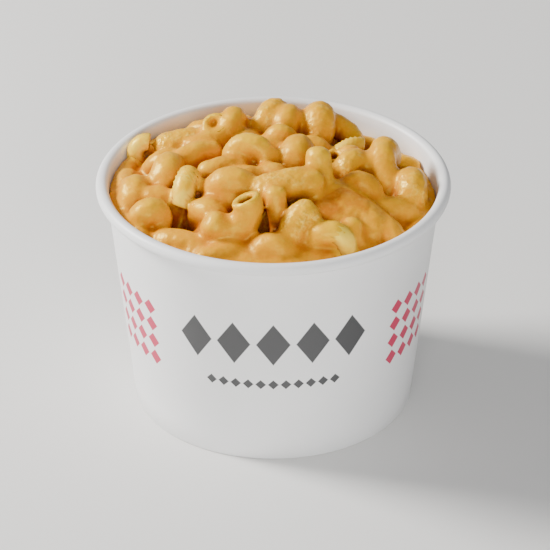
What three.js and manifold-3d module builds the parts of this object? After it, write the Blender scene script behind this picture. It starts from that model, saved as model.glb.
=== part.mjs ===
// Mac and cheese in its paper tub, in millimetres, +Z up.
// The origin is on the surface that the tub stands on, at the middle of its base.
// The front of the tub faces -Y, and heights of noodles are measured from the rim.
import * as THREE from "three";
import { mergeVertices } from "three/addons/utils/BufferGeometryUtils.js";
import Module from "manifold-3d";

const wasm = await Module();
wasm.setup();

// The tub: a tapered paper wall with a rolled rim, and a base set up inside it
const HEIGHT = 67.3;
const RIM_RADIUS = 49;
const CURL_RADIUS = 1.75;
const BASE_RADIUS = 38.8;
const PAPER = 0.6;
const HEM_WIDTH = 1.8;
const HEM_HEIGHT = 5;
const GAP = 0.35;
const TUB_FACETS = 48;
const CURL_STEPS = 8;

// The food: a core, and the noodles that show on it
const CORE_TOP = 1.5;
const CORE_FALL = 9;
const LOW_SIDE_FALL = 5;
const CORE_RINGS = 7;
const CORE_FACETS = 36;
const NOODLE_SIDES = 8;
const NOODLE_STEP = 3;
const NOODLE_TUBE = 3.6;
const BORE_SHARE = 0.55;
const BORE_DEPTH = 4.5;
const BORE_SIDES = 6;

// The wall's outer radius at a height, and the radius that the food may reach
const TOP_RADIUS = RIM_RADIUS - 1.6 * CURL_RADIUS;
const CURL_HEIGHT = HEIGHT - CURL_RADIUS;
const outerRadius = (z) => BASE_RADIUS + ((TOP_RADIUS - BASE_RADIUS) * z) / CURL_HEIGHT;
const foodRadius = (z) => outerRadius(Math.min(z, CURL_HEIGHT)) - PAPER - GAP;
const FLOOR_TOP = HEM_HEIGHT + GAP + PAPER;
const FOOD_BOTTOM = FLOOR_TOP + GAP;

// Deep gaps between noodles, where one looks down into the heap: x, y, radius, depth
const DEEP_GAPS = [
  [-27, -19.5, 5.5, 8],
  [-4, -20, 5, 8],
  [-6.5, 5, 4, 5],
];

const radians = THREE.MathUtils.degToRad;

// A noodle that curls round an axis: its middle, the axis, and where on the curl it starts and ends
function bent(x, y, z, heading, tilt, phase, turns, curl = {}) {
  const { coil = 3.1, pitch = 4, tube = NOODLE_TUBE, neck = 0, open = "" } = curl;
  return { x, y, z, heading, tilt, phase, turns, coil, pitch, tube, neck, open };
}

// A noodle that shows as a short, barely curved tube
function straight(x, y, z, heading, tilt, length, tube = NOODLE_TUBE, open = "") {
  const turns = 0.6;
  return bent(x, y, z, heading, tilt, 0, turns, { coil: 0.7, pitch: length / turns, tube, open });
}

// The noodles that show, each by its middle (z from the rim), its heading and its tilt in degrees
const SHOWN = [
  // back left
  bent(-36, 17.5, -4, -90, 20, -95, 0.72, { coil: 2.5, pitch: 3, tube: 3.1 }),
  straight(-24, 20.5, -1, 8, 0, 12, 4.1),
  straight(-16.5, 19, 0, 25, 0, 12, 4),
  straight(-17, 21.5, 2, -90, 78, 8, 3.4, "end"),
  bent(-11.5, 24, 2, 0, 0, 0, 0.6, { tube: 3.4, neck: 5 }),
  straight(-21, 10.5, 1, 20, 0, 9, 3.4),
  // back
  bent(-1.5, 30, 0.8, 10, 0, -30, 1.1, { pitch: 12.5, tube: 3.8 }),
  bent(4, 27, 1, 0, 0, 0, 0.7, { neck: 3 }),
  bent(13, 28.5, 0.3, 20, 0, 0, 0.7, { pitch: 6, tube: 4.2, neck: 2 }),
  straight(18.5, 31.5, -2, -50, -12, 10, 3.2),
  // middle
  bent(-6.5, 4.5, 3.2, -90, 0, 5, 0.62, { coil: 4.6, pitch: 5, tube: 3.1, neck: 2 }),
  bent(6.5, 6, 2.3, 10, 0, 0, 0.7, { coil: 2.6, pitch: 5, tube: 4.5, neck: 2 }),
  bent(2, 17, 2, -90, 0, 0, 0.6, { coil: 2.4, pitch: 3, tube: 2.7 }),
  straight(-13.5, 0, 2.2, 5, 0, 9, 3.5),
  bent(-11, -12, 0.8, -90, 0, 12, 0.62, { coil: 4.2, pitch: 5, tube: 4.3 }),
  straight(-12.5, -14, 0, -5, 0, 10, 3.8),
  straight(4, -13.5, 4.4, 4, 6, 13, 4.5),
  straight(13, -7.5, 4.6, 90, 78, 11, 3.4),
  straight(15.5, -18.5, -4.5, -50, -12, 14, 6),
  straight(0, -21, 1, 90, 80, 10, 3.2),
  // right
  bent(19, 9.5, 2, -90, 0, -180, 0.5, { coil: 2.2, pitch: 3, tube: 2.8, open: "end" }),
  straight(21.5, 17, -0.6, 12, 6, 6.5, 2.9, "end"),
  bent(21.5, 3.5, 0, -10, 0, 0, 0.8, { coil: 2.8, pitch: 9 }),
  bent(23.5, -8, -1, -90, 10, 0, 0.55, { coil: 3.4, tube: 3.3 }),
  bent(30.5, 9, 0, 0, 0, 0, 0.6, { tube: 3.9, neck: 11 }),
  straight(27, 3, -1, 90, 70, 7, 2.6),
  straight(31, 1.5, -1.5, 90, 50, 14, 3.5),
  straight(35.5, 18.5, -7, -20, 0, 6, 3),
  bent(38, -2, -4, 25, 0, 0, 0.7, { coil: 3.2, pitch: 7, tube: 4.1, neck: 5 }),
  straight(33.5, -10.5, -5, 0, -20, 8),
  // front right
  straight(21.5, -15.8, -4, -50, -14, 17, 6.5),
  straight(30.5, -21.5, -5, -70, -10, 10, 3.8),
  bent(15.5, -30.5, -4, -90, 0, 10, 0.58, { coil: 3.9, tube: 3.4, open: "end" }),
  straight(22, -27.5, -3.8, 90, 75, 8, 2.6),
  straight(6.5, -27.5, 0, 25, 50, 9, 4.1),
  // front left
  bent(0, -32.5, -6.7, -90, 0, 0, 0.55, { coil: 3.7 }),
  bent(-12.2, -26.5, 4.6, -90, 0, 145, 0.44, { coil: 5.5, tube: 3.9, neck: 0.8, open: "start" }),
  straight(-13.5, -33, -6, 5, 0, 10, 3.2),
  straight(-24, -10.5, 2, -123, -45, 8.5, 3.4, "end"),
  straight(-24.5, -27, -6, -35, 0, 11),
  // left
  bent(-29, 1, -1, -5, 0, 0, 0.65, { coil: 3.2, tube: 4.2, neck: 4 }),
  bent(-38, -5.5, -4.3, 10, 0, 0, 0.65, { coil: 3, tube: 4.3, neck: 4 }),
  bent(-33, -18, -2.5, -60, 0, 0, 0.65, { coil: 2.2, tube: 3.8, neck: 3 }),
  straight(-40.5, 3, -5, 80, 0, 10, 3.2),
];

// The noodles between them, tried at places on a spiral from the middle to the wall
const FILL_TRIES = 220;
const FILL_REACH = 38;
const FILL_CLEARANCE = 5.4;
const FILL_SINK = 1.5;
const FILL_SEED = 11;
const GOLDEN_ANGLE = Math.PI * (3 - Math.sqrt(5));

// The height of the core from the rim: a low mound that falls away to the wall,
// lower at the back right, with the deep gaps
function coreHeight(x, y) {
  const outward = Math.hypot(x, y) / RIM_RADIUS;
  let height = CORE_TOP - CORE_FALL * outward ** 2;
  height -= LOW_SIDE_FALL * Math.max(0, (x + y) / (Math.SQRT2 * RIM_RADIUS));
  for (const [gapX, gapY, radius, depth] of DEEP_GAPS) {
    const away = Math.hypot(x - gapX, y - gapY) / radius;
    height -= depth * Math.exp(-away * away);
  }
  return height;
}

// The middle line of a noodle, as points along its curl after its straight neck
function noodlePoints(noodle) {
  const { x, y, z, heading, tilt, phase, turns, coil, pitch, neck } = noodle;
  const turn = radians(heading);
  const rise = radians(tilt);
  const flat = Math.cos(rise);
  const axis = new THREE.Vector3(Math.cos(turn) * flat, Math.sin(turn) * flat, Math.sin(rise));
  const side = new THREE.Vector3(-Math.sin(turn), Math.cos(turn), 0);
  const crest = new THREE.Vector3().crossVectors(axis, side);
  const middle = new THREE.Vector3(x, y, HEIGHT + z);
  const count = Math.max(3, Math.ceil(Math.hypot(2 * Math.PI * coil, pitch) * turns / NOODLE_STEP));
  const points = [];
  for (let i = 0; i <= count; i++) {
    const share = i / count - 0.5;
    const angle = radians(phase) + 2 * Math.PI * turns * share;
    points.push(middle.clone()
      .addScaledVector(axis, share * pitch * turns)
      .addScaledVector(crest, coil * Math.cos(angle))
      .addScaledVector(side, coil * Math.sin(angle)));
  }
  if (neck > 0) {
    const outward = points[0].clone().sub(points[1]).normalize();
    points.unshift(points[0].clone().addScaledVector(outward, neck));
  }
  return points;
}

// A seeded draw, the same on every run, from -1 to 1
function makeDraw(seed) {
  let state = seed;
  return () => {
    state = (state * 1664525 + 1013904223) % 4294967296;
    return (2 * state) / 4294967296 - 1;
  };
}

// Noodles for the places that no other noodle covers
function fillNoodles(placed) {
  const draw = makeDraw(FILL_SEED);
  const covered = placed.flatMap(noodlePoints);
  const fill = [];
  for (let i = 0; i < FILL_TRIES; i++) {
    const reach = FILL_REACH * Math.sqrt(i / FILL_TRIES);
    const heading = 180 * draw();
    const phase = 50 * draw();
    const x = reach * Math.cos(i * GOLDEN_ANGLE);
    const y = reach * Math.sin(i * GOLDEN_ANGLE);
    if (covered.some((point) => Math.hypot(point.x - x, point.y - y) < FILL_CLEARANCE)) continue;
    const noodle = bent(x, y, coreHeight(x, y) - FILL_SINK, heading, 0, phase, 0.8, { pitch: 10 });
    covered.push(...noodlePoints(noodle));
    fill.push(noodle);
  }
  return fill;
}

// A closed geometry as a solid
function solid(geometry) {
  geometry.deleteAttribute("normal");
  geometry.deleteAttribute("uv");
  const merged = mergeVertices(geometry, 1e-4);
  const vertProperties = new Float32Array(merged.attributes.position.array);
  const triVerts = new Uint32Array(merged.index.array);
  return new wasm.Manifold(new wasm.Mesh({ numProp: 3, vertProperties, triVerts }));
}

// A solid as geometry again
function geometryOf(manifold) {
  const { vertProperties, triVerts } = manifold.getMesh();
  const geometry = new THREE.BufferGeometry();
  geometry.setAttribute("position", new THREE.BufferAttribute(vertProperties, 3));
  geometry.setIndex(new THREE.BufferAttribute(triVerts, 1));
  geometry.computeVertexNormals();
  return geometry;
}

// A turned piece from its closed outline of [radius, height] points, standing along +Z
function turned(outline, facets) {
  const points = outline.map(([radius, z]) => new THREE.Vector2(radius, z));
  const geometry = new THREE.LatheGeometry(points, facets);
  geometry.rotateX(Math.PI / 2);
  return geometry;
}

// A tube of few sides along a line of points
function tube(points, radius, sides, steps) {
  const corners = [];
  for (let i = 0; i < sides; i++) {
    const angle = (2 * Math.PI * i) / sides;
    corners.push(new THREE.Vector2(radius * Math.cos(angle), radius * Math.sin(angle)));
  }
  const extrudePath = new THREE.CatmullRomCurve3(points);
  return new THREE.ExtrudeGeometry(new THREE.Shape(corners), { steps, extrudePath });
}

function noodleSolid(noodle) {
  const points = noodlePoints(noodle);
  return solid(tube(points, noodle.tube, NOODLE_SIDES, points.length - 1));
}

// The mouth of an open noodle: a short bore from just outside its end
function boreSolid(noodle) {
  const points = noodlePoints(noodle);
  if (noodle.open === "end") points.reverse();
  const inward = points[1].clone().sub(points[0]).normalize();
  const mouth = points[0].clone().addScaledVector(inward, -1);
  const bottom = points[0].clone().addScaledVector(inward, BORE_DEPTH);
  return solid(tube([mouth, bottom], noodle.tube * BORE_SHARE, BORE_SIDES, 1));
}

// The core: a turned block whose top follows coreHeight
function coreSolid() {
  const outline = [[0, FOOD_BOTTOM], [foodRadius(FOOD_BOTTOM), FOOD_BOTTOM]];
  for (let ring = 0; ring <= CORE_RINGS; ring++) {
    const radius = foodRadius(HEIGHT - CORE_FALL) * (1 - ring / CORE_RINGS);
    outline.push([radius, HEIGHT]);
  }
  const geometry = turned(outline, CORE_FACETS);
  const position = geometry.attributes.position;
  for (let i = 0; i < position.count; i++) {
    if (position.getZ(i) < HEIGHT - 1) continue;
    position.setZ(i, HEIGHT + coreHeight(position.getX(i), position.getY(i)));
  }
  return solid(geometry);
}

// The space in the tub that the food may fill
function foodSpace() {
  const top = HEIGHT + 20;
  return solid(turned([
    [0, FOOD_BOTTOM],
    [foodRadius(FOOD_BOTTOM), FOOD_BOTTOM],
    [foodRadius(CURL_HEIGHT), CURL_HEIGHT],
    [foodRadius(CURL_HEIGHT), top],
    [0, top],
  ], TUB_FACETS));
}

function heapGeometry() {
  const noodles = [...SHOWN, ...fillNoodles(SHOWN)];
  let heap = coreSolid();
  for (const noodle of noodles) heap = heap.add(noodleSolid(noodle));
  for (const noodle of noodles) {
    if (noodle.open) heap = heap.subtract(boreSolid(noodle));
  }
  heap = heap.intersect(foodSpace());
  const bodies = heap.decompose();
  bodies.sort((a, b) => b.volume() - a.volume());
  return geometryOf(bodies[0]);
}

// The wall's outline: hem, outer face, rolled rim, inner face
function wallGeometry() {
  const outline = [[BASE_RADIUS - HEM_WIDTH, 0], [BASE_RADIUS, 0]];
  const curlMiddle = RIM_RADIUS - CURL_RADIUS;
  for (let step = 0; step <= CURL_STEPS; step++) {
    const angle = radians(-130 + (step * 290) / CURL_STEPS);
    const radius = curlMiddle + CURL_RADIUS * Math.cos(angle);
    outline.push([radius, CURL_HEIGHT + CURL_RADIUS * Math.sin(angle)]);
  }
  const underCurl = CURL_HEIGHT - CURL_RADIUS;
  outline.push([outerRadius(underCurl) - PAPER, underCurl]);
  outline.push([outerRadius(HEM_HEIGHT) - PAPER, HEM_HEIGHT]);
  outline.push([outerRadius(HEM_HEIGHT) - HEM_WIDTH, HEM_HEIGHT]);
  outline.push(outline[0]);
  return turned(outline, TUB_FACETS);
}

function baseGeometry() {
  const underside = HEM_HEIGHT + GAP;
  const edge = outerRadius(underside) - PAPER - GAP;
  return turned([[0, underside], [edge, underside], [edge, FLOOR_TOP], [0, FLOOR_TOP]], TUB_FACETS);
}

function piece(name, geometry, color, roughness) {
  const material = new THREE.MeshStandardMaterial({ color, roughness, metalness: 0 });
  const mesh = new THREE.Mesh(geometry, material);
  mesh.name = name;
  return mesh;
}

const macAndCheese = new THREE.Group();
macAndCheese.add(
  piece("tub_wall", wallGeometry(), "#f1f0ee", 0.6),
  piece("tub_base", baseGeometry(), "#eceae6", 0.7),
  piece("macaroni_heap", heapGeometry(), "#f0a52a", 0.35),
);

export default macAndCheese;
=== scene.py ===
# %% [markdown]
# Mac and cheese in a paper tub.
#
# The food is curled macaroni under thick cheese sauce, heaped past the rim of a squat white paper tub.
# The lesson builds it from the outside in: the camera and the light, then the paper tub, then the
# noodles one by one, then the sauce that joins them. All sizes are in metres and heights start at the
# floor.

# %% The frame, and the sizes that it gives
import math

import bmesh
import bpy
import numpy as np
from mathutils import Matrix, Vector, kdtree, noise
from mathutils.bvhtree import BVHTree


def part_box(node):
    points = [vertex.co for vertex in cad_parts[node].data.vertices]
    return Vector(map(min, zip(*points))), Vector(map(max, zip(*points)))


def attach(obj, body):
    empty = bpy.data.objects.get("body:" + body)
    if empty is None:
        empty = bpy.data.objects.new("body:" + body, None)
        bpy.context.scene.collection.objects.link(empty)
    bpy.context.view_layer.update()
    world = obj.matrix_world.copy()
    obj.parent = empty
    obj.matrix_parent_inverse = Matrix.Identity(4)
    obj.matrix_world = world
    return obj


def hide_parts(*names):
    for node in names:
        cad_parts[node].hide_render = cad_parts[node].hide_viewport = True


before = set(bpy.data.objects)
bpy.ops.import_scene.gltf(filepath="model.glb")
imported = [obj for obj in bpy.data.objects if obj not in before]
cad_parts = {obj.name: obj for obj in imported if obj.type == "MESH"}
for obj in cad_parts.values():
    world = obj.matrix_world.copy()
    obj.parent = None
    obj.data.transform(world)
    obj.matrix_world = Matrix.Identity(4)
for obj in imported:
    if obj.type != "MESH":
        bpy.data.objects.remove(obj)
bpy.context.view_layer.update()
MM = 0.001
_, wall_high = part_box("tub_wall")
base_low, base_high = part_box("tub_base")
food_low, food_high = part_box("macaroni_heap")
RIM_HEIGHT = wall_high.z
RIM_RADIUS = 49.0 * MM
CURL_RADIUS = 1.75 * MM
BASE_RADIUS = 38.8 * MM
PAPER = 0.6 * MM
FOLD = 0.3 * MM
HEM_WIDTH = 1.8 * MM
HEM_HEIGHT = 5 * MM
GAP = 0.35 * MM
CURL_HEIGHT = RIM_HEIGHT - CURL_RADIUS
TOP_RADIUS = RIM_RADIUS - 1.6 * CURL_RADIUS
print("rim", round(RIM_HEIGHT / MM, 2), "mm up, food", round(food_high.z / MM, 2), "mm")

# %% [markdown]
# The camera looks down on the front of the tub from a little over a metre away, at about thirty
# degrees. A long lens at that distance gives the gentle perspective of a product picture: the rim and
# the base are nearly the same ellipse. Placing the camera by its target, its distance and its height
# angle keeps the three values readable.

# %% Camera
AIM = Vector((0.00045, 0, 0.0362))
CAMERA_DISTANCE = 1.1995
CAMERA_RISE = math.radians(30.41)
LENS = 281.1
SENSOR_WIDTH = 36

camera_data = bpy.data.cameras.new("camera")
camera_data.lens = LENS
camera_data.sensor_width = SENSOR_WIDTH
camera = bpy.data.objects.new("camera", camera_data)
towards_camera = Vector((0, -math.cos(CAMERA_RISE), math.sin(CAMERA_RISE)))
camera.location = AIM + CAMERA_DISTANCE * towards_camera
camera.rotation_euler = towards_camera.to_track_quat("Z", "Y").to_euler()
bpy.context.scene.collection.objects.link(camera)
bpy.context.scene.camera = camera

# %% [markdown]
# A pale floor and two soft round lights make the plain studio. The key light stands at the left and a
# little behind, so that it rakes over the noodles, draws a highlight on each one and lets the front of
# the tub fall into light grey. A weaker light in front and a pale surround keep the shadows open.

# %% Floor and lights
FOOD_MIDDLE = (0, 0, 0.06)
KEY_WATTS = 27
KEY_COLOUR = (1, 0.985, 0.96)
FRONT_WATTS = 10.5
SURROUND_COLOUR = (0.9, 0.92, 0.95, 1)
SURROUND_STRENGTH = 0.4
FLOOR_SIZE = 4
FLOOR_COLOUR = (0.74, 0.73, 0.71, 1)
FLOOR_ROUGHNESS = 0.7


def add_light(name, place, size, watts, colour=(1, 1, 1)):
    data = bpy.data.lights.new(name, "AREA")
    data.shape = "DISK"
    data.size = size
    data.energy = watts
    data.color = colour
    light = bpy.data.objects.new(name, data)
    light.location = place
    light.rotation_euler = (Vector(place) - Vector(FOOD_MIDDLE)).to_track_quat("Z", "Y").to_euler()
    bpy.context.scene.collection.objects.link(light)


add_light("key_light", (-0.88, 0.26, 0.64), 0.35, KEY_WATTS, KEY_COLOUR)
add_light("front_light", (0.05, -1.1, 0.4), 0.7, FRONT_WATTS)

world = bpy.data.worlds.new("studio")
bpy.context.scene.world = world
world.use_nodes = True
surround = world.node_tree.nodes["Background"]
surround.inputs["Color"].default_value = SURROUND_COLOUR
surround.inputs["Strength"].default_value = SURROUND_STRENGTH


def new_object(name, bm):
    """Turn a bmesh into an object at the origin, smooth shaded, and free the bmesh."""
    mesh = bpy.data.meshes.new(name)
    bm.to_mesh(mesh)
    bm.free()
    mesh.shade_smooth()
    piece = bpy.data.objects.new(name, mesh)
    bpy.context.scene.collection.objects.link(piece)
    return piece


floor_bm = bmesh.new()
bmesh.ops.create_grid(floor_bm, x_segments=1, y_segments=1, size=FLOOR_SIZE)
floor = new_object("floor", floor_bm)

# %% [markdown]
# Materials are node trees. A few small helpers save typing: one starts a material and hands back its
# Principled shader, the others add a node with its values set or linked.

# %% Material helpers
def new_material(name):
    material = bpy.data.materials.new(name)
    material.use_nodes = True
    return material, material.node_tree, material.node_tree.nodes["Principled BSDF"]


def add_node(tree, kind, values=None, **settings):
    node = tree.nodes.new(kind)
    for key, value in settings.items():
        setattr(node, key, value)
    for key, value in (values or {}).items():
        node.inputs[key].default_value = value
    return node


def maths(tree, operation, first, second=None, clamp=False):
    node = tree.nodes.new("ShaderNodeMath")
    node.operation = operation
    node.use_clamp = clamp
    for socket, value in zip(node.inputs, (first, second)):
        if isinstance(value, bpy.types.NodeSocket):
            tree.links.new(value, socket)
        elif value is not None:
            socket.default_value = value
    return node.outputs[0]


def mix_colours(tree, share, first, second):
    node = tree.nodes.new("ShaderNodeMix")
    node.data_type = "RGBA"
    for socket, value in zip((node.inputs[0], node.inputs[6], node.inputs[7]), (share, first, second)):
        if isinstance(value, bpy.types.NodeSocket):
            tree.links.new(value, socket)
        else:
            socket.default_value = value
    return node.outputs[2]


def ramp(tree, value, low, high):
    """Stretch a value so that low becomes 0 and high becomes 1, held between the two."""
    node = add_node(tree, "ShaderNodeMapRange", {"From Min": low, "From Max": high}, clamp=True)
    tree.links.new(value, node.inputs["Value"])
    return node.outputs["Result"]


def add_bump(tree, shader, height, strength, distance):
    node = add_node(tree, "ShaderNodeBump", {"Strength": strength, "Distance": distance})
    tree.links.new(height, node.inputs["Height"])
    tree.links.new(node.outputs["Normal"], shader.inputs["Normal"])


floor_material, _, floor_shader = new_material("pale_floor")
floor_shader.inputs["Base Color"].default_value = FLOOR_COLOUR
floor_shader.inputs["Roughness"].default_value = FLOOR_ROUGHNESS
floor.data.materials.append(floor_material)

# %% [markdown]
# Two effects come back on paper, sauce and pasta alike, so each is a node group that is built once and
# placed in every material with its own values. Soft patches vary a colour over centimetres or
# millimetres, and the fine relief is a slow wave with a finer grain on it. Both read object
# coordinates, so the pattern stays on its piece.

# %% Node groups for soft patches and fine relief
PATCH_INPUTS = {"Scale": 100, "Low": 0.4, "High": 0.6}
RELIEF_INPUTS = {"Wave Scale": 400, "Grain Scale": 1000, "Grain": 0.2}
NOISE_KIND = {"Detail": 2.5, "Roughness": 0.55}


def new_group(name, inputs, output):
    """A group with number inputs, given as name and default, and one number output."""
    group = bpy.data.node_groups.new(name, "ShaderNodeTree")
    for label, value in inputs.items():
        socket = group.interface.new_socket(label, in_out="INPUT", socket_type="NodeSocketFloat")
        socket.default_value = value
    group.interface.new_socket(output, in_out="OUTPUT", socket_type="NodeSocketFloat")
    return group, group.nodes.new("NodeGroupInput"), group.nodes.new("NodeGroupOutput")


def noise_in_group(group, scale):
    coordinates = group.nodes.new("ShaderNodeTexCoord")
    node = add_node(group, "ShaderNodeTexNoise", NOISE_KIND)
    group.links.new(coordinates.outputs["Object"], node.inputs["Vector"])
    group.links.new(scale, node.inputs["Scale"])
    return node.outputs["Fac"]


def soft_patches_group():
    group, given, result = new_group("soft_patches", PATCH_INPUTS, "Share")
    stretch = group.nodes.new("ShaderNodeMapRange")
    group.links.new(noise_in_group(group, given.outputs["Scale"]), stretch.inputs["Value"])
    group.links.new(given.outputs["Low"], stretch.inputs["From Min"])
    group.links.new(given.outputs["High"], stretch.inputs["From Max"])
    group.links.new(stretch.outputs["Result"], result.inputs["Share"])
    return group


def fine_relief_group():
    group, given, result = new_group("fine_relief", RELIEF_INPUTS, "Height")
    wave = noise_in_group(group, given.outputs["Wave Scale"])
    grain = noise_in_group(group, given.outputs["Grain Scale"])
    height = maths(group, "ADD", wave, maths(group, "MULTIPLY", grain, given.outputs["Grain"]))
    group.links.new(height, result.inputs["Height"])
    return group


SOFT_PATCHES = soft_patches_group()
FINE_RELIEF = fine_relief_group()


def place_group(tree, group, values):
    """Place a group in a material, with a number or a link for each named input."""
    node = tree.nodes.new("ShaderNodeGroup")
    node.node_tree = group
    for label, value in values.items():
        if isinstance(value, bpy.types.NodeSocket):
            tree.links.new(value, node.inputs[label])
        else:
            node.inputs[label].default_value = value
    return node.outputs[0]


def soft_patches(tree, scale, low, high):
    return place_group(tree, SOFT_PATCHES, {"Scale": scale, "Low": low, "High": high})


def fine_relief(tree, wave_scale, grain_scale, grain):
    values = {"Wave Scale": wave_scale, "Grain Scale": grain_scale, "Grain": grain}
    return place_group(tree, FINE_RELIEF, values)


print("groups", [group.name for group in bpy.data.node_groups])

# %% [markdown]
# The tub's wall is one sheet of paper wound into a cone: its top edge is rolled outwards into a bead,
# its foot is folded in, and its two sides overlap in a glued seam at the back. A spin of the wall's
# outline gives all of it but the seam, which is then pushed out by a fraction of a millimetre.

# %% Tub wall
TUB_STEPS = 240
CURL_STEPS = 20
UNDER_CURL = 1.3
CURL_FROM = -130
CURL_SWEEP = 290
WALL_RISES = 10
SEAM_WIDTH = math.radians(9)
SEAM_LIFT = 0.3 * MM


def outer_radius(z):
    return BASE_RADIUS + (TOP_RADIUS - BASE_RADIUS) * z / CURL_HEIGHT


def food_radius(z):
    return outer_radius(min(z, CURL_HEIGHT)) - PAPER - GAP


def spin_outline(bm, outline, steps, closed):
    """Turn an outline of (radius, height) points once round the z axis."""
    verts = [bm.verts.new((radius, 0, z)) for radius, z in outline]
    pairs = list(zip(verts, verts[1:]))
    if closed:
        pairs.append((verts[-1], verts[0]))
    edges = [bm.edges.new(pair) for pair in pairs]
    bmesh.ops.spin(bm, geom=verts + edges, cent=(0, 0, 0), axis=(0, 0, 1), dvec=(0, 0, 0),
                   angle=2 * math.pi, steps=steps, use_merge=True)
    bmesh.ops.remove_doubles(bm, verts=bm.verts, dist=1e-6)
    bmesh.ops.recalc_face_normals(bm, faces=bm.faces)


def wall_outline():
    """The wall's section, from the foot up the outside, round the rim and down the inside to the hem."""
    points = [(BASE_RADIUS - HEM_WIDTH, FOLD), (BASE_RADIUS - HEM_WIDTH + FOLD, 0)]
    points += [(BASE_RADIUS - FOLD, 0), (BASE_RADIUS, FOLD)]
    under_curl = CURL_HEIGHT - UNDER_CURL * CURL_RADIUS
    for k in range(1, WALL_RISES + 1):
        z = FOLD + (under_curl - FOLD) * k / WALL_RISES
        points.append((outer_radius(z), z))
    for k in range(CURL_STEPS + 1):
        angle = math.radians(CURL_FROM + CURL_SWEEP * k / CURL_STEPS)
        radius = RIM_RADIUS - CURL_RADIUS + CURL_RADIUS * math.cos(angle)
        points.append((radius, CURL_HEIGHT + CURL_RADIUS * math.sin(angle)))
    for z in (CURL_HEIGHT - CURL_RADIUS, RIM_HEIGHT / 2, HEM_HEIGHT + FOLD):
        points.append((outer_radius(z) - PAPER, z))
    points.append((outer_radius(HEM_HEIGHT) - HEM_WIDTH, HEM_HEIGHT))
    return points


wall_bm = bmesh.new()
spin_outline(wall_bm, wall_outline(), TUB_STEPS, closed=True)
for vert in wall_bm.verts:
    angle_from_back = math.atan2(vert.co.x, vert.co.y)
    radius = math.hypot(vert.co.x, vert.co.y)
    outside = radius > outer_radius(vert.co.z) - PAPER / 2
    if abs(angle_from_back) < SEAM_WIDTH / 2 and outside and vert.co.z < CURL_HEIGHT - CURL_RADIUS:
        vert.co.xy *= (radius + SEAM_LIFT) / radius
tub_wall = new_object("paper_wall", wall_bm)
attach(tub_wall, "root")
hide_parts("tub_wall")
print("wall faces", len(tub_wall.data.polygons))

# %% [markdown]
# The base is a separate paper disc, pressed into the wall's foot. Seen from below it is a shallow dish
# with a rib pressed in near its edge, so its outline is turned with that rib.

# %% Tub base
BASE_FLOOR = base_low.z
BASE_EDGE = base_high.x
BASE_STEPS = 96
RIB_AT = 0.82
RIB_WIDTH = 0.04
RIB_DEPTH = 0.25 * MM


def base_outline():
    top = base_high.z
    radii = [0, 0.4, 0.7, RIB_AT - RIB_WIDTH, RIB_AT, RIB_AT + RIB_WIDTH, 0.95, 1]
    points = [(share * BASE_EDGE, BASE_FLOOR + RIB_DEPTH * (share == RIB_AT)) for share in radii]
    points += [(share * BASE_EDGE, top) for share in reversed(radii)]
    return points


base_bm = bmesh.new()
spin_outline(base_bm, base_outline(), BASE_STEPS, closed=False)
tub_base = new_object("paper_base", base_bm)
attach(tub_base, "root")
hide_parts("tub_base")

# %% [markdown]
# The tub is white coated board with a simple print. A print that goes round a cone is easiest to draw
# from the distance round the tub and the height: the distance is the angle of x and y times the radius.
# All of it is lozenges in rows: five large grey ones across the front, a row of tiny ones below, and a
# red patch on each side.

# %% Paper material
PRINT_GREY = (0.062, 0.062, 0.064, 1)
PRINT_RED = (0.55, 0.025, 0.085, 1)
PAPER_WHITE = (0.86, 0.857, 0.85, 1)
PAPER_CLOUD = (0.83, 0.828, 0.82, 1)
PAPER_ROUGHNESS = 0.42
PAPER_GLOW = 0.06
PAPER_GLOW_RADIUS = (0.001, 0.0009, 0.0008)
PAPER_PATCHES = (45, 0.3, 0.7)
PAPER_BUMP = (0.1, 0.0001)
PRINT_RADIUS = 43.5 * MM
LOZENGE_REACH = 0.42
LOZENGE_EDGE = 0.02
ROW_EDGE = 0.01
GREY_ROW = {"middle": (0, 39.5 * MM), "cell": (11 * MM, 16 * MM), "columns": 5, "rows": 1}
TINY_ROW = {"middle": (0, 26 * MM), "cell": (3.6 * MM, 3.6 * MM), "columns": 11, "rows": 1}
RED_PATCH = {"middle": (47 * MM, 34 * MM), "cell": (5.6 * MM, 5.6 * MM), "columns": 4, "rows": 4}


def under(tree, value, limit, edge):
    """1 where the value is below the limit, 0 above it, with a thin soft edge."""
    return maths(tree, "SUBTRACT", 1, ramp(tree, value, limit, limit + edge))


def cell_distance(tree, value, middle, cell, count):
    """The distance from the middle of the value's cell, in cells, and 1 inside the row of cells."""
    cells = maths(tree, "DIVIDE", maths(tree, "SUBTRACT", value, middle - count / 2 * cell), cell)
    away = maths(tree, "ABSOLUTE", maths(tree, "SUBTRACT", maths(tree, "FRACT", cells), 0.5))
    from_middle = maths(tree, "ABSOLUTE", maths(tree, "SUBTRACT", cells, count / 2))
    return away, under(tree, from_middle, count / 2, ROW_EDGE)


def lozenge_mask(tree, across, z, field):
    wide, in_columns = cell_distance(tree, across, field["middle"][0], field["cell"][0], field["columns"])
    high, in_rows = cell_distance(tree, z, field["middle"][1], field["cell"][1], field["rows"])
    lozenge = under(tree, maths(tree, "ADD", wide, high), LOZENGE_REACH, LOZENGE_EDGE)
    return maths(tree, "MULTIPLY", lozenge, maths(tree, "MULTIPLY", in_columns, in_rows))


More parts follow.
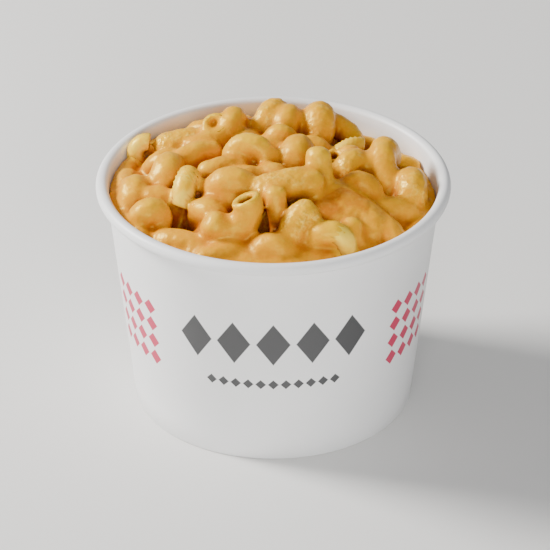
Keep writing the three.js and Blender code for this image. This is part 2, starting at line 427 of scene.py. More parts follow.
def printed_colour(tree, paper):
    coordinates = tree.nodes.new("ShaderNodeTexCoord")
    split = tree.nodes.new("ShaderNodeSeparateXYZ")
    tree.links.new(coordinates.outputs["Object"], split.inputs[0])
    x, y, z = split.outputs
    angle = maths(tree, "ARCTAN2", x, maths(tree, "MULTIPLY", y, -1))
    across = maths(tree, "MULTIPLY", angle, PRINT_RADIUS)
    large = lozenge_mask(tree, across, z, GREY_ROW)
    grey = maths(tree, "MAXIMUM", large, lozenge_mask(tree, across, z, TINY_ROW))
    red = lozenge_mask(tree, maths(tree, "ABSOLUTE", across), z, RED_PATCH)
    return mix_colours(tree, red, mix_colours(tree, grey, paper, PRINT_GREY), PRINT_RED)


def paper_material(name, printed):
    material, tree, shader = new_material(name)
    shader.inputs["Roughness"].default_value = PAPER_ROUGHNESS
    shader.inputs["Subsurface Weight"].default_value = PAPER_GLOW
    shader.inputs["Subsurface Radius"].default_value = PAPER_GLOW_RADIUS
    colour = mix_colours(tree, soft_patches(tree, *PAPER_PATCHES), PAPER_WHITE, PAPER_CLOUD)
    if printed:
        colour = printed_colour(tree, colour)
    tree.links.new(colour, shader.inputs["Base Color"])
    add_bump(tree, shader, fine_relief(tree, 900, 2600, 1), *PAPER_BUMP)
    return material


tub_wall.data.materials.append(paper_material("printed_paper", True))
tub_base.data.materials.append(paper_material("plain_paper", False))

# %% [markdown]
# Each noodle is a short tube of pasta that curls round an axis like a corkscrew. It is written down as
# the middle of the curl, the heading and tilt of its axis, and the stretch of the curl that it covers.
# Noodles that only look like short straight tubes are the same thing with a very weak curl. Two pairs
# of numbers say how pale the start and the end are, from ordinary sauce at 0 to nearly bare pasta at 1,
# and how grainy the sauce is there. A pale value below 0, down to -1, is painted shade: it darkens the
# sauce over the noodle towards deep orange, for the noodles at the front right that lie in shade.

# %% The noodles that show
NOODLE_TUBE = 3.6
STRAIGHT_TURNS = 0.6
STRAIGHT_COIL = 0.7


def bent(x, y, z, heading, tilt, phase, turns, coil=3.1, pitch=4, tube=NOODLE_TUBE, neck=0, mouth="",
         pale=(0, 0), grain=(0, 0)):
    """A noodle in millimetres and degrees, with z measured from the rim."""
    turn, rise = math.radians(heading), math.radians(tilt)
    axis = Vector((math.cos(turn) * math.cos(rise), math.sin(turn) * math.cos(rise), math.sin(rise)))
    side = Vector((-math.sin(turn), math.cos(turn), 0))
    return {
        "middle": Vector((x * MM, y * MM, RIM_HEIGHT + z * MM)),
        "axis": axis,
        "side": side,
        "crest": axis.cross(side),
        "start": math.radians(phase) - math.pi * turns,
        "turns": turns,
        "coil": coil * MM,
        "pitch": pitch * MM,
        "tube": tube * MM,
        "neck": neck * MM,
        "mouth": mouth,
        "pale": pale,
        "grain": grain,
    }


def straight(x, y, z, heading, tilt, length, tube=NOODLE_TUBE, mouth="", pale=(0, 0), grain=(0, 0)):
    """A noodle of a given length that hardly bends."""
    return bent(x, y, z, heading, tilt, 0, STRAIGHT_TURNS, coil=STRAIGHT_COIL,
                pitch=length / STRAIGHT_TURNS, tube=tube, mouth=mouth, pale=pale, grain=grain)


# A pale value below 0 paints shade into the sauce over that noodle.
SHOWN = [
    # back left
    bent(-35.2, 18.5, -2.6, -90, 20, -95, 0.56, coil=3.3, pitch=1, tube=2.6, mouth="both", pale=(1, 1)),
    straight(-24, 20.5, -1, 8, 0, 12, 4.1, pale=(0.45, 0.1), grain=(1, 0.2)),
    straight(-16.5, 19, 0, 25, 0, 12, 4),
    straight(-17, 21.5, 2, -90, 78, 8, 3.4, "end", pale=(0, 0.35)),
    bent(-11.5, 24, 2, 0, 0, 0, 0.6, tube=3.4, neck=5),
    straight(-21, 10.5, 1, 20, 0, 9, 3.4),
    # back
    bent(-1.5, 30, 0.8, 10, 0, -30, 1.1, pitch=12.5, tube=3.8, pale=(0.4, 0), grain=(0.5, 0.5)),
    bent(4, 27, 1, 0, 0, 0, 0.7, neck=3),
    bent(13, 28.5, 0.3, 20, 0, 0, 0.7, pitch=6, tube=4.2, neck=2, grain=(0.6, 0)),
    straight(18.5, 31.5, -2, -50, -12, 10, 3.2),
    # middle
    bent(-6.5, 4.5, 3.2, -90, 0, 5, 0.62, coil=4.6, pitch=5, tube=3.1, neck=2, pale=(0.5, 0.5)),
    bent(6.5, 6, 2.3, 10, 0, 0, 0.7, coil=2.6, pitch=5, tube=4.5, neck=2),
    bent(2, 17, 2, -90, 0, 0, 0.6, coil=2.4, pitch=3, tube=2.7),
    straight(-13.5, 0, 2.2, 5, 0, 9, 3.5),
    bent(-11, -12, 0.8, -90, 0, 12, 0.62, coil=4.2, pitch=5, tube=4.3),
    straight(-11, -14, 0, -5, 0, 7.5, 3.8),
    straight(4, -13.5, 4.4, 4, 6, 13, 4.5, pale=(0.4, 0), grain=(1, 0)),
    straight(13, -7.5, 4.6, 90, 78, 11, 3.4, pale=(0, 0.5)),
    # pale below 0: painted shade
    straight(15.5, -18.5, -4.5, -50, -12, 14, 6, pale=(-1, -1)),
    straight(1.3, -21, 1, 90, 80, 10, 2.8),
    # right
    bent(19, 9.5, 2, -90, 0, -180, 0.5, coil=2.2, pitch=3, tube=2.8, mouth="end", pale=(0, 0.4)),
    straight(21.5, 17, -0.6, 12, 6, 6.5, 2.9, "end", pale=(0.9, 1)),
    bent(21.5, 3.5, 0, -10, 0, 0, 0.8, coil=2.8, pitch=9, pale=(0.4, 0), grain=(1, 0.3)),
    # pale below 0: painted shade
    bent(23.5, -8, -1, -90, 10, 0, 0.55, coil=3.4, tube=3.3, pale=(-0.7, -0.7)),
    bent(30.5, 9, 0, 0, 0, 0, 0.6, tube=3.9, neck=11, pale=(0.3, 0), grain=(0.5, 0)),
    straight(27, 3, -1, 90, 70, 7, 2.6),
    straight(31, 1.5, -1.5, 90, 50, 14, 3.5),
    straight(35.5, 18.5, -7, -20, 0, 6, 3),
    bent(38, -2, -4, 25, 0, 0, 0.7, coil=3.2, pitch=7, tube=4.1, neck=5, grain=(0.8, 0)),
    straight(33.5, -10.5, -5, 0, -20, 8),
    # front right
    # pale below 0 on these two: painted shade
    straight(21.5, -15.8, -4, -50, -14, 17, 6.5, pale=(-1, -0.8)),
    straight(30.5, -21.5, -5, -70, -10, 10, 3.8, pale=(-0.6, -0.3)),
    bent(15.5, -30.5, -4, -90, 0, 10, 0.58, coil=3.9, tube=3.4, mouth="end", pale=(0.3, 1)),
    straight(22, -27.5, -3.8, 90, 75, 8, 2.6),
    straight(6.5, -27.5, 0, 25, 50, 9, 4.1, pale=(0.1, 0.3), grain=(0.2, 1)),
    # front left
    bent(0, -32.5, -6.7, -90, 0, 0, 0.55, coil=3.7),
    bent(-12.2, -26.5, 4.6, -90, 0, 145, 0.44, coil=5.5, tube=3.9, neck=0.8, mouth="start", pale=(0.3, 0)),
    straight(-13.5, -33, -6, 5, 0, 10, 3.2),
    straight(-24, -10.5, 2, -123, -45, 8.5, 3.4, "end", pale=(0.7, 1)),
    straight(-24.5, -27, -6, -35, 0, 11),
    # left
    bent(-29, 1, -1, -5, 0, 0, 0.65, coil=3.2, tube=4.2, neck=4),
    bent(-38, -5.5, -4.3, 10, 0, 0, 0.65, coil=3, tube=4.3, neck=4),
    bent(-33.5, -18, -2.5, -60, 0, 0, 0.65, coil=2.2, tube=3.6, neck=1),
    straight(-40.5, 3, -5, 80, 0, 10, 3.2),
]
print(len(SHOWN), "noodles placed by hand")

# %% [markdown]
# Where the heap meets the paper the sauce has run down and along it. A smear is a noodle without pasta:
# a big flat arc round the tub's own axis. One more noodle without pasta, broad and short, lies between
# the two wide ones at the front right, so that they join into one flat sheet.

# %% Sauce without pasta
SMEAR_INSET = 0.8


def smear(z, toward, turns, tube):
    """An arc along the wall, with its middle at an angle from the left, in millimetres and degrees."""
    reach = food_radius(RIM_HEIGHT + z * MM) / MM - SMEAR_INSET * tube
    return bent(0, 0, z, 0, 90, toward, turns, coil=reach, pitch=0, tube=tube)


SMEARS = [
    smear(-5.5, 5, 0.22, 2.4),
    smear(-6.5, 75, 0.18, 2),
    smear(-8, 145, 0.24, 2),
    smear(-7.5, -72, 0.22, 2),
    smear(-8, -144, 0.24, 2.6),
    straight(19, -17, -6.6, -50, -13, 6, 8.8),  # between the wide noodles
]

# %% [markdown]
# A noodle's path is needed three times: to find the places that are still free, to build the tube and
# to measure how near the sauce lies. One function gives the point at any share of the curl, the neck is
# a straight stretch before it.

# %% Paths, the core's height and the noodles between
PATH_STEP = 1.0 * MM
CORE_TOP = 1.5 * MM
CORE_FALL = 9 * MM
LOW_SIDE_FALL = 5 * MM
DEEP_GAPS = [(-27 * MM, -19.5 * MM, 5.5 * MM, 8 * MM), (-4 * MM, -20 * MM, 5 * MM, 8 * MM),
             (-6.5 * MM, 5 * MM, 4 * MM, 5 * MM)]
COVER_STEP = 3 * MM
FILL_TRIES = 220
FILL_REACH = 38 * MM
FILL_CLEARANCE = 5.4 * MM
FILL_SINK = 1.5 * MM
FILL_TURNS = 0.8
FILL_PITCH = 10
FILL_HEADING = 180
FILL_PHASE = 50
FILL_SEED = 11
DRAW_FACTOR = 1664525
DRAW_STEP = 1013904223
DRAW_RANGE = 2 ** 32
GOLDEN_ANGLE = math.pi * (3 - math.sqrt(5))


def curl_point(noodle, share):
    angle = noodle["start"] + 2 * math.pi * noodle["turns"] * share
    along = (share - 0.5) * noodle["pitch"] * noodle["turns"]
    return (noodle["middle"] + noodle["axis"] * along
            + noodle["crest"] * noodle["coil"] * math.cos(angle)
            + noodle["side"] * noodle["coil"] * math.sin(angle))


def curl_length(noodle):
    return math.hypot(2 * math.pi * noodle["coil"], noodle["pitch"]) * noodle["turns"]


def path_points(noodle, step=PATH_STEP):
    """Points along a noodle's middle line, with one more at the far end of its neck."""
    count = max(3, math.ceil(curl_length(noodle) / step))
    points = [curl_point(noodle, k / count) for k in range(count + 1)]
    if noodle["neck"] > 0:
        outward = (points[0] - points[1]).normalized()
        points.insert(0, points[0] + outward * noodle["neck"])
    return points


def core_height(x, y):
    """The core's height from the rim: a low mound, lower at the back right, with three deep gaps."""
    height = CORE_TOP - CORE_FALL * (math.hypot(x, y) / RIM_RADIUS) ** 2
    height -= LOW_SIDE_FALL * max(0, (x + y) / (math.sqrt(2) * RIM_RADIUS))
    for gap_x, gap_y, radius, depth in DEEP_GAPS:
        away = math.hypot(x - gap_x, y - gap_y) / radius
        height -= depth * math.exp(-away * away)
    return height


def fill_noodles(placed):
    """Noodles for the places that no other noodle covers, tried along a spiral with a seeded draw."""
    state = FILL_SEED

    def draw():
        nonlocal state
        state = (state * DRAW_FACTOR + DRAW_STEP) % DRAW_RANGE
        return 2 * state / DRAW_RANGE - 1

    covered = [point for noodle in placed for point in path_points(noodle, COVER_STEP)]
    fill = []
    for k in range(FILL_TRIES):
        reach = FILL_REACH * math.sqrt(k / FILL_TRIES)
        heading, phase = FILL_HEADING * draw(), FILL_PHASE * draw()
        x, y = reach * math.cos(k * GOLDEN_ANGLE), reach * math.sin(k * GOLDEN_ANGLE)
        if any(math.hypot(point.x - x, point.y - y) < FILL_CLEARANCE for point in covered):
            continue
        z = core_height(x, y) - FILL_SINK
        noodle = bent(x / MM, y / MM, z / MM, heading, 0, phase, FILL_TURNS, pitch=FILL_PITCH)
        covered += path_points(noodle, COVER_STEP)
        fill.append(noodle)
    return fill


noodles = SHOWN + fill_noodles(SHOWN)
print(len(noodles), "noodles in all")

# %% [markdown]
# A tube along a corkscrew is exactly what the spin operator draws: a ring of edges is turned round the
# curl's axis in small steps and moved along it a little at each step. The neck is the first ring
# extruded straight back. The tube's wall comes from a second, inner tube whose ends are bridged to the
# outer one.

# %% Tube helpers
CURL_START = 0.001
FEWEST_STEPS = 4
DOME_RINGS = ((0.35, 0.9), (0.25, 0.78), (0.15, 0.55))


def join_into(whole, part):
    """Copy a finished bmesh into a bigger one and free it: operators stay quick on a small bmesh."""
    bmesh.ops.recalc_face_normals(part, faces=part.faces)
    mesh = bpy.data.meshes.new("part")
    part.to_mesh(mesh)
    part.free()
    whole.from_mesh(mesh)
    bpy.data.meshes.remove(mesh)


def start_ring(bm, noodle, radius, sides, ridge=0.0):
    """A ring of edges across the start of a noodle, with every other corner drawn in by the ridge."""
    ahead = (curl_point(noodle, CURL_START) - curl_point(noodle, 0)).normalized()
    place = Matrix.Translation(curl_point(noodle, 0)) @ ahead.to_track_quat("Z", "Y").to_matrix().to_4x4()
    ring = bmesh.ops.create_circle(bm, cap_ends=False, radius=radius, segments=sides, matrix=place)["verts"]
    for vert in ring[::2]:
        vert.co = vert.co.lerp(place.translation, ridge / radius)
    edges = list({edge for vert in ring for edge in vert.link_edges})
    return ring, edges, ahead


def grow_ring(bm, edges, move, scale=1.0):
    """Extrude a ring of edges by a move and scale it round its middle; gives the new ring's edges."""
    made = bmesh.ops.extrude_edge_only(bm, edges=edges)["geom"]
    verts = [item for item in made if isinstance(item, bmesh.types.BMVert)]
    bmesh.ops.translate(bm, verts=verts, vec=move)
    middle = sum((vert.co for vert in verts), Vector()) / len(verts)
    bmesh.ops.scale(bm, verts=verts, vec=(scale,) * 3, space=Matrix.Translation(-middle))
    edges = [item for item in made if isinstance(item, bmesh.types.BMEdge)]
    return [edge for edge in edges if all(vert in verts for vert in edge.verts)]


def sweep(bm, noodle, radius, sides, ridge=0.0):
    """Spin a ring along a noodle. Gives the edges of its first and last ring, each with its way out."""
    ring, edges, ahead = start_ring(bm, noodle, radius, sides, ridge)
    steps = max(FEWEST_STEPS, math.ceil(curl_length(noodle) / PATH_STEP))
    made = bmesh.ops.spin(
        bm, geom=ring + edges, cent=noodle["middle"], axis=noodle["axis"],
        dvec=noodle["axis"] * noodle["pitch"] * noodle["turns"] / steps,
        angle=-2 * math.pi * noodle["turns"], steps=steps, use_merge=False)
    last = [item for item in made["geom_last"] if isinstance(item, bmesh.types.BMEdge)]
    beyond = (curl_point(noodle, 1) - curl_point(noodle, 1 - CURL_START)).normalized()
    first = edges
    if noodle["neck"] > 0:
        first = grow_ring(bm, first, -ahead * noodle["neck"])
    return (first, -ahead), (last, beyond)


def dome(bm, edges, outward, radius):
    """Close a tube's end with a rounded cap."""
    for push, scale in DOME_RINGS:
        edges = grow_ring(bm, edges, outward * radius * push, scale)
    bmesh.ops.edgeloop_fill(bm, edges=edges)


# %% [markdown]
# The pasta itself: every noodle is a hollow ridged tube. Most of it ends up under sauce, but at the
# mouths and where the coat is thin the real tube with its lip and its ridges shows. A noodle that is
# buried all over is made a little thinner, so that it never pokes out of a crease.

# %% Macaroni
PASTA_SIDES = 24
BORE_SHARE = 0.56
LIP_LENGTH = 0.12
LIP_SCALE = 0.93
RIDGE = 0.2 * MM
BURIED = 0.5 * MM
BARE_FROM = 0.55
BARE_TO = 0.9


def add_macaroni(whole, noodle):
    """A hollow noodle: an outer and an inner tube, joined at both ends by a rounded lip."""
    bm = bmesh.new()
    shows = noodle["mouth"] or max(noodle["pale"]) > BARE_FROM
    radius = noodle["tube"] - (0 if shows else BURIED)
    outer_ends = sweep(bm, noodle, radius, PASTA_SIDES, RIDGE)
    inner_ends = sweep(bm, noodle, radius * BORE_SHARE, PASTA_SIDES)
    for (outer, outward), (inner, _) in zip(outer_ends, inner_ends):
        lip = grow_ring(bm, outer, outward * LIP_LENGTH * radius, LIP_SCALE)
        bmesh.ops.bridge_loops(bm, edges=lip + inner)
    join_into(whole, bm)


pasta_bm = bmesh.new()
for noodle in noodles:
    add_macaroni(pasta_bm, noodle)
macaroni = new_object("macaroni", pasta_bm)
print("macaroni triangles", sum(len(face.vertices) - 2 for face in macaroni.data.polygons))

# %% [markdown]
# The sauce is one skin over everything. It starts as rough shapes that overlap: a core that fills the
# tub, and a fatter copy of each noodle. A voxel remesh fuses them into one closed surface, and
# smoothing rounds the grooves between them the way thick sauce does. Where a noodle is nearly bare its
# copy is thinner than the pasta, so that the pasta comes through.

# %% Sauce shapes before the remesh
COAT = 0.3 * MM
BARE = -0.4 * MM
FILLET = 0.4 * MM
SKIN_DEPTH = 15 * MM
SAUCE_SIDES = 20
MOUTH_DEPTH = 1.5
NEAR_PATH = 0.6
CORE_RINGS = 30
CORE_STEPS = 120
TOLERANCE = 0.1 * MM


def coat_at(noodle, share):
    """The coat's thickness at a share of the noodle's length, below 0 where the pasta is bare."""
    pale = noodle["pale"][0] + (noodle["pale"][1] - noodle["pale"][0]) * share
    bareness = min(max((pale - BARE_FROM) / (BARE_TO - BARE_FROM), 0), 1)
    return COAT + (BARE - COAT) * bareness


def sink_mouth(bm, edges, outward, radius, coat):
    """Turn a tube's end inwards to a blind bore, which the draw in by the fillet widens to the pasta's."""
    edges = grow_ring(bm, edges, outward * (FILLET + coat), 1)
    edges = grow_ring(bm, edges, outward * 0, BORE_SHARE - FILLET / radius)
    edges = grow_ring(bm, edges, outward * -(FILLET + MOUTH_DEPTH * radius), 1)
    bmesh.ops.edgeloop_fill(bm, edges=edges)


def fit_coat(verts, noodle):
    """Move each new vertex out from the noodle's path by the coat there."""
    points = path_points(noodle)
    tree = kdtree.KDTree(len(points))
    for index, point in enumerate(points):
        tree.insert(point, index)
    tree.balance()
    for vert in verts:
        nearest, index, away = tree.find(vert.co)
        if away > NEAR_PATH * noodle["tube"]:
            coat = coat_at(noodle, index / (len(points) - 1))
            vert.co += (vert.co - nearest).normalized() * (coat + FILLET)


def add_coat(whole, noodle):
    """The rough sauce over one noodle, with a bore at each open mouth and a dome at every other end."""
    bm = bmesh.new()
    ends = sweep(bm, noodle, noodle["tube"], SAUCE_SIDES)
    for share, name, (edges, outward) in zip((0, 1), ("start", "end"), ends):
        if noodle["mouth"] in (name, "both"):
            sink_mouth(bm, edges, outward, noodle["tube"], coat_at(noodle, share))
        else:
            dome(bm, edges, outward, noodle["tube"])
    fit_coat(bm.verts, noodle)
    join_into(whole, bm)


def add_core(bm, bottom):
    """A block from the bottom up to core_height."""
    reach = food_radius(RIM_HEIGHT - CORE_FALL)
    outline = [(0, bottom), (food_radius(bottom), bottom)]
    outline += [(reach * (1 - k / CORE_RINGS), RIM_HEIGHT) for k in range(CORE_RINGS + 1)]
    spin_outline(bm, outline, CORE_STEPS, closed=False)
    for vert in bm.verts:
        if vert.co.z > RIM_HEIGHT - TOLERANCE:
            vert.co.z = RIM_HEIGHT + core_height(vert.co.x, vert.co.y)


skin_bottom = RIM_HEIGHT - SKIN_DEPTH
sauce_bm = bmesh.new()
add_core(sauce_bm, skin_bottom)
for noodle in noodles + SMEARS:
    add_coat(sauce_bm, noodle)
rough_sauce = new_object("rough_sauce", sauce_bm)

# %% [markdown]
# The rough shapes become one skin with modifiers. Remesh and Smooth fuse them, Displace draws the
# result in by as much as the shapes were too fat, and a second Remesh and Smooth tidy the faces.
# Fattening first and drawing in afterwards fills the narrow grooves and leaves the tops where they
# were, as a thick sauce does.

# %% Sauce skin
VOXEL = 0.54 * MM
SMOOTH_FACTOR = 0.5
FIRST_ROUNDS = 4
LAST_ROUNDS = 2


def add_fuse(piece, rounds):
    remesh = piece.modifiers.new("fuse", "REMESH")
    remesh.mode = "VOXEL"
    remesh.voxel_size = VOXEL
    smooth = piece.modifiers.new("smooth", "SMOOTH")
    smooth.factor = SMOOTH_FACTOR
    smooth.iterations = rounds


def remeshed(rough, name):
    """Fuse and smooth the rough shapes, draw the skin in by the fillet, and give it as a new object."""
    add_fuse(rough, FIRST_ROUNDS)
    draw_in = rough.modifiers.new("draw in", "DISPLACE")
    draw_in.mid_level = 0
    draw_in.strength = -FILLET
    add_fuse(rough, LAST_ROUNDS)
    evaluated = rough.evaluated_get(bpy.context.evaluated_depsgraph_get())
    mesh = bpy.data.meshes.new_from_object(evaluated)
    mesh.name = name
    piece = bpy.data.objects.new(name, mesh)
    bpy.context.scene.collection.objects.link(piece)
    bpy.data.objects.remove(rough)
    return piece


def keep_in_tub(mesh):
    """Draw in whatever would pass through the paper."""
    for vert in mesh.vertices:
        radius = math.hypot(vert.co.x, vert.co.y)
        limit = food_radius(vert.co.z) + 0.5 * GAP
        if radius > limit:
            vert.co.xy *= limit / radius


cheese_sauce = remeshed(rough_sauce, "cheese_sauce")
keep_in_tub(cheese_sauce.data)
keep_in_tub(macaroni.data)
cheese_sauce.data.shade_smooth()
print("sauce triangles", sum(len(face.vertices) - 2 for face in cheese_sauce.data.polygons))

# %% [markdown]
# The sauce is not one colour. It is pale and yellow where the coat is thin and stands up, and deep
# orange where it is thick and low. Light and shade are painted in as well: tops that see much of the
# sky are painted paler, closed-in places are painted darker, and the hollows get a painted shade of a
# dark red-brown. Four values are stored on each of its vertices for the material to read: how pale and
# how grainy the nearest noodle is, how far the vertex stands out from its smoothed surroundings, and
# how much of the sky it sees. The pasta only needs the last of these.

# %% Values stored on the sauce and the pasta
LUMP_SIZE = 3.2 * MM
LUMP_HEIGHT = 0.22 * MM
SMALL_LUMPS = 0.4
GRAIN_SIZE = 1.1 * MM
GRAIN_HEIGHT = 0.3 * MM
RELIEF_ROUNDS = 40
RELIEF_REACH = 1.2 * MM
NEAREST = 3
SPREAD = 0.9 * MM
SKY_RAYS = 16
SKY_REACH = 9 * MM
SKY_LIFT = 0.1 * MM
SKY_FROM = 2 * MM
SKY_ROUNDS = 2


def vertex_array(mesh, what="co"):
    values = np.empty(len(mesh.vertices) * 3)
    mesh.vertices.foreach_get(what, values)
    return values.reshape(-1, 3)


def smoothed(mesh, places, rounds):
    """The places after each has moved to the mean of its neighbours, a number of times."""
    edges = np.empty(len(mesh.edges) * 2, dtype=np.int64)
    mesh.edges.foreach_get("vertices", edges)
    edges = edges.reshape(-1, 2)
    counts = np.bincount(edges.ravel(), minlength=len(places))[:, None]
    for _ in range(rounds):
        total = np.zeros_like(places)
        for column in range(places.shape[1]):
            total[:, column] += np.bincount(edges[:, 0], places[edges[:, 1], column], len(places))
            total[:, column] += np.bincount(edges[:, 1], places[edges[:, 0], column], len(places))
        places = total / np.maximum(counts, 1)
    return places


def store(mesh, name, values):
    attribute = mesh.attributes.new(name, "FLOAT", "POINT")
    attribute.data.foreach_set("value", np.asarray(values, dtype=np.float32))


def store_relief(mesh):
    """How far each vertex stands out from its smoothed surroundings, with 0.5 where it doesn't."""
    places = vertex_array(mesh)
    lift = ((places - smoothed(mesh, places, RELIEF_ROUNDS)) * vertex_array(mesh, "normal")).sum(1)
    store(mesh, "relief", np.clip(lift / RELIEF_REACH * 0.5 + 0.5, 0, 1))


def sky_directions():
    """Unit vectors spread evenly over the upper half of a sphere."""
    directions = []
    for k in range(SKY_RAYS):
        rise = (k + 0.5) / SKY_RAYS
        flat = math.sqrt(1 - rise * rise)
        turn = k * GOLDEN_ANGLE
        directions.append(Vector((flat * math.cos(turn), flat * math.sin(turn), rise)))
    return directions


def store_sky(mesh, sauce):
    """The share of the sky that each vertex sees past the sauce round it."""
    tree = BVHTree.FromObject(sauce, bpy.context.evaluated_depsgraph_get())
    directions = sky_directions()
    starts = vertex_array(mesh) + vertex_array(mesh, "normal") * SKY_LIFT
    seen = np.zeros((len(starts), 1))
    for index in np.flatnonzero(starts[:, 2] > skin_bottom + SKY_FROM):
        start = Vector(starts[index])
        hits = [tree.ray_cast(start, way, SKY_REACH)[0] for way in directions]
        seen[index] = hits.count(None) / SKY_RAYS
    store(mesh, "sky", smoothed(mesh, seen, SKY_ROUNDS)[:, 0])


def path_values(name):
    """A search tree over all the path points, and each point's own value and tube radius."""
    points, values = [], []
    for noodle in noodles:
        own = path_points(noodle)
        points += own
        first, last = noodle[name]
        for k in range(len(own)):
            values.append((first + (last - first) * k / (len(own) - 1), noodle["tube"]))
    tree = kdtree.KDTree(len(points))
    for index, point in enumerate(points):
        tree.insert(point, index)
    tree.balance()
    return tree, values


def store_from_noodles(mesh, name):
    """Store the mean value of the nearest path points, less where a vertex lies far from their tubes."""
    tree, values = path_values(name)
    found = []
    for vert in mesh.vertices:
        total = 0
        for _, index, away in tree.find_n(vert.co, NEAREST):
            value, tube = values[index]
            total += value * math.exp(-(max(away - tube, 0) / SPREAD) ** 2)
        found.append(total / NEAREST)
    store(mesh, name, found)


def noise_at(places, size):
    return np.array([noise.noise(Vector(place)) for place in places / size])


def add_lumps(mesh):
    """A slow unevenness over the whole coat, and small curds in the grainy patches."""
    places = vertex_array(mesh)
    grain = np.empty(len(places))
    mesh.attributes["grain"].data.foreach_get("value", grain)
    lifts = LUMP_HEIGHT * (noise_at(places, LUMP_SIZE) + 0.5 * noise_at(places, SMALL_LUMPS * LUMP_SIZE))
    lifts += GRAIN_HEIGHT * grain * noise_at(places, GRAIN_SIZE)
    places += vertex_array(mesh, "normal") * lifts[:, None]
    mesh.vertices.foreach_set("co", places.ravel())
    mesh.update()


store_from_noodles(cheese_sauce.data, "grain")
add_lumps(cheese_sauce.data)
store_relief(cheese_sauce.data)
store_sky(cheese_sauce.data, cheese_sauce)
store_sky(macaroni.data, cheese_sauce)
store_from_noodles(cheese_sauce.data, "pale")

# %% [markdown]
# Under the skin the tub is simply full. The core is a plain turned block from the base up to the skin,
# so that the heap is solid seen from any side.

# %% Core under the skin
UNDER_SKIN = 0.1 * MM

core_bm = bmesh.new()
core_outline = [(0, food_low.z), (food_radius(food_low.z), food_low.z)]
core_top = skin_bottom - UNDER_SKIN
core_outline += [(food_radius(skin_bottom), core_top), (0, core_top)]
spin_outline(core_bm, core_outline, BASE_STEPS, closed=False)
heap_core = new_object("heap_core", core_bm)

# %% [markdown]
# Cheese sauce is smooth and glossy and lets light in a little. Its colour runs from a deep orange
# through a warm yellow-orange to a pale butter yellow, and to a dark red-brown painted into the deepest
# hollows as shade. The stored values and a noise drive it, so part of that range is painted light and
# shade. Small patches are grainy, where the cheese has clumped, and catch sharp highlights; pale specks
# in them are partly painted highlight.

# %% Sauce and pasta materials
# Painted shade: the hollow colour stands in for the dark of the deepest hollows.
HOLLOW_SHADE = (0.26, 0.035, 0.002, 1)
# The deep colour is partly thick sauce and partly painted shade in low, closed-in places.
DEEP_SAUCE_AND_SHADE = (0.55, 0.16, 0.0, 1)
WARM_SAUCE = (0.74, 0.315, 0.0, 1)
PALE_SAUCE = (0.86, 0.47, 0.0, 1)
BARE_PASTA = (0.95, 0.64, 0.06, 1)
# The specks are partly pale clumps of cheese and partly painted highlight.
SPECK_AND_GLINT = (0.95, 0.66, 0.1, 1)
GLOSS = {
    "Specular Tint": (1, 0.8, 0.1, 1),
    "Specular IOR Level": 0.75,
    "Subsurface Weight": 0.12,
    "Subsurface Radius": (1.0, 0.45, 0.12),
    "Subsurface Scale": 0.0015,
}
RELIEF_SHARE = 0.65
# The sky share paints light on open tops and shade where the sauce is closed in.
SKY_SHARE = 0.45
PATCH_SHARE = 0.25
# How strongly a pale value below 0 paints shade.
PAINTED_SHADE_SHARE = 0.5
WARM_RANGE = (0.28, 0.66)
PALE_AND_LIT_RANGE = (0.78, 1.15)
HOLLOW_SHADE_RANGE = (0.18, 0.56)
PASTA_HOLLOW_SHADE_RANGE = (0.3, 0.62)
GRAIN_EVERYWHERE = 0.15
SAUCE_ROUGHNESS = 0.38
GRAIN_POLISH = 0.16
GRAIN_BUMP = 1.8
PASTA_ROUGHNESS = 0.33
PASTA_GRAIN_BUMP = 0.5
SLOW_PATCHES = (170, 0.2, 0.8)
GRAIN_PATCHES = (300, 0.45, 0.62)
SPECK_AND_GLINT_PATCHES = (900, 0.4, 0.66)
PASTA_PATCHES = (260, 0.42, 0.66)
SAUCE_BUMP = (0.5, 0.0004)
PASTA_BUMP = (0.25, 0.0002)


def attribute_value(tree, name):
    node = tree.nodes.new("ShaderNodeAttribute")
    node.attribute_name = name
    return node.outputs["Fac"]


def food_gloss(shader):
    for label, value in GLOSS.items():
        shader.inputs[label].default_value = value


def stored_height(tree):
    """How high and open the sauce lies: relief, sky and a slow noise. The sky part paints light on open
    tops and shade where the sauce is closed in, and a pale value below 0 lowers it to paint shade.
    """
    relief = maths(tree, "MULTIPLY", attribute_value(tree, "relief"), RELIEF_SHARE)
    sky = maths(tree, "MULTIPLY", attribute_value(tree, "sky"), SKY_SHARE)
    patches = maths(tree, "MULTIPLY", soft_patches(tree, *SLOW_PATCHES), PATCH_SHARE)
    patches = maths(tree, "SUBTRACT", patches, PATCH_SHARE / 2)
    # Painted shade: a pale value below 0 lowers the height, so the sauce there turns deeper orange.
    painted_shade = maths(tree, "MINIMUM", attribute_value(tree, "pale"), 0)
    painted_shade = maths(tree, "MULTIPLY", painted_shade, PAINTED_SHADE_SHARE)
    height = maths(tree, "ADD", maths(tree, "ADD", relief, sky), patches)
    return maths(tree, "ADD", height, painted_shade)


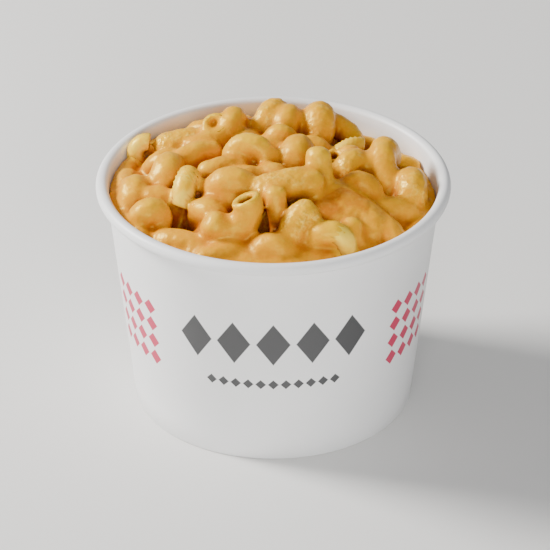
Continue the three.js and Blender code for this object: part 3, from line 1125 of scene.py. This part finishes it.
def paint_hollow_shade(tree, colour, sky_range):
    """The colour where the sky is seen, and painted shade of a dark red-brown in the hollows where it
    isn't.
    """
    open_share = ramp(tree, attribute_value(tree, "sky"), *sky_range)
    return mix_colours(tree, open_share, HOLLOW_SHADE, colour)


def sauce_material():
    material, tree, shader = new_material("cheese_sauce")
    food_gloss(shader)
    height = stored_height(tree)
    # Partly painted shade: low and closed-in sauce turns deep orange.
    colour = mix_colours(tree, ramp(tree, height, *WARM_RANGE), DEEP_SAUCE_AND_SHADE, WARM_SAUCE)
    # Partly painted light: tops that stand out and see the sky turn pale, as well as where the coat is
    # thin.
    pale_and_lit_top = ramp(tree, height, *PALE_AND_LIT_RANGE)
    pale_share = maths(tree, "ADD", attribute_value(tree, "pale"), pale_and_lit_top, clamp=True)
    colour = mix_colours(tree, pale_share, colour, PALE_SAUCE)
    # Painted shade: a dark red-brown where the sauce sees little sky.
    colour = paint_hollow_shade(tree, colour, HOLLOW_SHADE_RANGE)
    grain = maths(tree, "ADD", attribute_value(tree, "grain"), GRAIN_EVERYWHERE)
    patchy_grain = maths(tree, "MULTIPLY", grain, soft_patches(tree, *GRAIN_PATCHES))
    # Pale specks in the grainy patches, partly painted highlight.
    speck_and_glint_share = maths(tree, "MULTIPLY", soft_patches(tree, *SPECK_AND_GLINT_PATCHES), patchy_grain)
    colour = mix_colours(tree, speck_and_glint_share, colour, SPECK_AND_GLINT)
    tree.links.new(colour, shader.inputs["Base Color"])
    polish = maths(tree, "MULTIPLY", patchy_grain, GRAIN_POLISH)
    tree.links.new(maths(tree, "SUBTRACT", SAUCE_ROUGHNESS, polish), shader.inputs["Roughness"])
    relief = fine_relief(tree, 420, 900, maths(tree, "MULTIPLY", patchy_grain, GRAIN_BUMP))
    add_bump(tree, shader, relief, *SAUCE_BUMP)
    return material


def pasta_material():
    material, tree, shader = new_material("bare_pasta")
    food_gloss(shader)
    shader.inputs["Roughness"].default_value = PASTA_ROUGHNESS
    colour = mix_colours(tree, soft_patches(tree, *PASTA_PATCHES), BARE_PASTA, PALE_SAUCE)
    # Painted shade: the pasta turns dark red-brown where it sees little sky.
    colour = paint_hollow_shade(tree, colour, PASTA_HOLLOW_SHADE_RANGE)
    tree.links.new(colour, shader.inputs["Base Color"])
    add_bump(tree, shader, fine_relief(tree, 500, 1500, PASTA_GRAIN_BUMP), *PASTA_BUMP)
    return material


cheese_sauce.data.materials.append(sauce_material())
macaroni.data.materials.append(pasta_material())
heap_core.data.materials.append(cheese_sauce.data.materials[0])
for piece in (cheese_sauce, macaroni, heap_core):
    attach(piece, "root")
    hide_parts("macaroni_heap")
